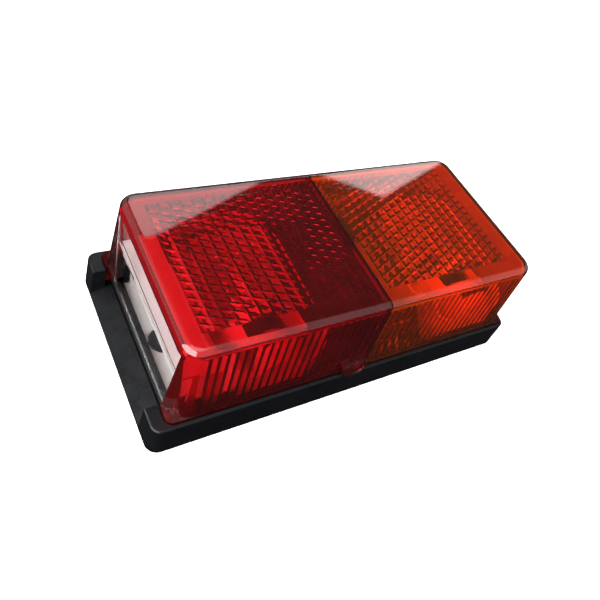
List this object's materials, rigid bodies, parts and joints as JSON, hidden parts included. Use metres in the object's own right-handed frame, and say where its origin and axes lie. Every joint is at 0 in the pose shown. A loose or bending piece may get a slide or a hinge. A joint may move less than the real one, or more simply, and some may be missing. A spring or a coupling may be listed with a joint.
{
  "type": "trailer tail light",
  "caption": "Flat-backed trailer lamp with a red stop and tail half, an amber indicator half and a clear number-plate window in one end, two bayonet bulbs inside.",
  "frame": {"origin": "centre of the flat back, on its surface", "axes": "+X along the lamp from the number-plate window to the amber end, +Z from the back to the lens face, +Y across the lamp"},
  "size_m": [0.18, 0.0874, 0.0523],
  "materials": {
    "black_plastic": "moulded, fine satin grain",
    "red_lens": "clear red acrylic, polished outside, fluted and prismed inside",
    "amber_lens": "clear amber acrylic, polished outside, fluted and prismed inside",
    "clear_window": "clear acrylic",
    "bulb_glass": "thin clear glass",
    "sealing_rubber": "matt rubber",
    "white_plastic": "moulded, smooth white",
    "brass": "stamped, slightly dull",
    "zinc_steel": "zinc plated",
    "bakelite": "dark brown moulded",
    "solder": "dull solder",
    "tungsten": "fine drawn wire",
    "wire_brown": "wire insulation",
    "wire_red": "wire insulation",
    "wire_white": "wire insulation",
    "wire_green": "wire insulation"
  },
  "bodies": {
    "housing": {"base_housing": "black_plastic", "lens_gasket": "sealing_rubber", "bay_partition": "black_plastic", "tail_reflector": "white_plastic", "indicator_reflector": "white_plastic", "tail_holder": "black_plastic", "indicator_holder": "black_plastic", "tail_socket_shell": "zinc_steel", "indicator_socket_shell": "zinc_steel", "tail_contact_spring": "zinc_steel", "indicator_contact_spring": "zinc_steel", "tail_holder_screw_left": "zinc_steel", "tail_holder_screw_right": "zinc_steel", "indicator_holder_screw_left": "zinc_steel", "indicator_holder_screw_right": "zinc_steel", "terminal_block": "black_plastic", "terminal_screw_tail": "brass", "terminal_screw_stop": "brass", "terminal_screw_tail_earth": "brass", "terminal_screw_indicator_earth": "brass", "terminal_screw_indicator": "brass", "wire_tail": "wire_brown", "wire_stop": "wire_red", "wire_tail_earth": "wire_white", "wire_indicator_earth": "wire_white", "wire_indicator": "wire_green", "cable_grommet": "sealing_rubber"},
    "lens": {"lens_red": "red_lens", "lens_amber": "amber_lens", "plate_window": "clear_window"},
    "tail_plunger": {"tail_contact_carrier": "bakelite", "tail_contact_stud": "brass", "stop_contact_stud": "brass"},
    "tail_bulb": {"tail_bulb_cap": "brass", "tail_bulb_glass": "bulb_glass", "tail_bulb_stem": "bulb_glass", "tail_bulb_insulator": "bakelite", "tail_solder_point": "solder", "stop_solder_point": "solder", "tail_filament": "tungsten", "stop_filament": "tungsten"},
    "indicator_plunger": {"indicator_contact_carrier": "bakelite", "indicator_contact_stud": "brass"},
    "indicator_bulb": {"indicator_bulb_cap": "brass", "indicator_bulb_glass": "bulb_glass", "indicator_bulb_stem": "bulb_glass", "indicator_bulb_insulator": "bakelite", "indicator_solder_point": "solder", "indicator_filament": "tungsten"}
  },
  "joints": [
    {"name": "lens_lift", "type": "slide", "parent": "housing", "child": "lens", "axis": [0, 0, 1], "range_m": [0, 0.055]},
    {"name": "tail_bulb_push", "type": "slide", "parent": "housing", "child": "tail_plunger", "axis": [0, -1, 0], "range_m": [0, 0.002], "stiffness_N_per_m": 2500, "deforming": ["tail_contact_spring"]},
    {"name": "tail_bulb_turn", "type": "hinge", "parent": "tail_plunger", "child": "tail_bulb", "pos_m": [-0.0395, -0.008, 0.021], "axis": [0, 1, 0], "range_deg": [0, 20]},
    {"name": "indicator_bulb_push", "type": "slide", "parent": "housing", "child": "indicator_plunger", "axis": [0, -1, 0], "range_m": [0, 0.002], "stiffness_N_per_m": 2500, "deforming": ["indicator_contact_spring"]},
    {"name": "indicator_bulb_turn", "type": "hinge", "parent": "indicator_plunger", "child": "indicator_bulb", "pos_m": [0.0615, -0.008, 0.021], "axis": [0, 1, 0], "range_deg": [0, 20]}
  ]
}
